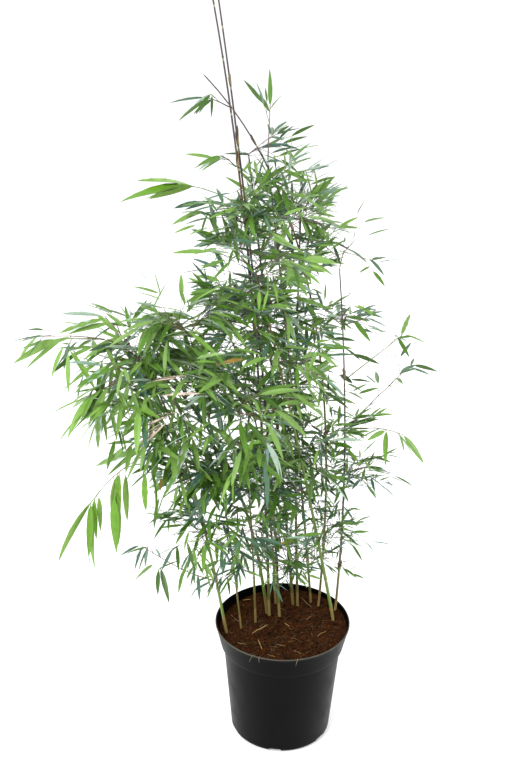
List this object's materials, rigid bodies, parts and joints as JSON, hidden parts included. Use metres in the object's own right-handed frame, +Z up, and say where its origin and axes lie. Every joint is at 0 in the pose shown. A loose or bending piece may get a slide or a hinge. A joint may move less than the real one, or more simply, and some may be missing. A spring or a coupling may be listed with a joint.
{
  "type": "potted bamboo",
  "caption": "Clump of slender bamboo culms with fine foliage, growing in a round black nursery pot filled with soil.",
  "frame": {"origin": "middle of the flat underside of the pot, on the surface it stands on", "axes": "+Z up along the plant, -Y towards the front of the picture's view, +X to its right"},
  "size_m": [0.764, 0.5732, 1.4522],
  "materials": {
    "pot": "black moulded polypropylene, satin",
    "soil": "reddish brown coir and peat, rough",
    "culm": "olive to brown cane with raised joints, satin",
    "foliage": "fresh green leaves, satin above and paler below"
  },
  "bodies": {
    "root": {"culm_back_lean": "culm", "culm_bowed": "culm", "culm_centre_back": "culm", "culm_centre_dark": "culm", "culm_front_lean": "culm", "culm_left_arch": "culm", "culm_left_edge": "culm", "culm_left_thin": "culm", "culm_mid_lean": "culm", "culm_right_edge": "culm", "culm_right_lean": "culm", "culm_tall_left": "culm", "culm_tall_right": "culm", "foliage_arm_1": "foliage", "foliage_arm_10": "foliage", "foliage_arm_2": "foliage", "foliage_arm_3": "foliage", "foliage_arm_4": "foliage", "foliage_arm_5": "foliage", "foliage_arm_6": "foliage", "foliage_arm_7": "foliage", "foliage_arm_8": "foliage", "foliage_arm_9": "foliage", "foliage_back_lean_1": "foliage", "foliage_back_lean_2": "foliage", "foliage_bowed_1": "foliage", "foliage_centre_back_1": "foliage", "foliage_centre_back_2": "foliage", "foliage_centre_back_3": "foliage", "foliage_centre_dark_1": "foliage", "foliage_centre_dark_2": "foliage", "foliage_centre_dark_3": "foliage", "foliage_front_lean_1": "foliage", "foliage_front_lean_2": "foliage", "foliage_left_arch_1": "foliage", "foliage_left_arch_2": "foliage", "foliage_left_arch_3": "foliage", "foliage_left_arch_4": "foliage", "foliage_left_edge_1": "foliage", "foliage_left_edge_2": "foliage", "foliage_left_edge_3": "foliage", "foliage_left_thin_1": "foliage", "foliage_left_thin_2": "foliage", "foliage_left_thin_3": "foliage", "foliage_mid_lean_1": "foliage", "foliage_mid_lean_2": "foliage", "foliage_right_edge_1": "foliage", "foliage_right_edge_2": "foliage", "foliage_right_edge_3": "foliage", "foliage_right_lean_1": "foliage", "foliage_right_lean_2": "foliage", "foliage_right_lean_3": "foliage", "foliage_right_lean_4": "foliage", "foliage_tall_left_1": "foliage", "foliage_tall_left_2": "foliage", "foliage_tall_right_1": "foliage", "foliage_tall_right_2": "foliage", "foliage_tall_right_3": "foliage", "pot": "pot", "soil": "soil"}
  },
  "joints": []
}
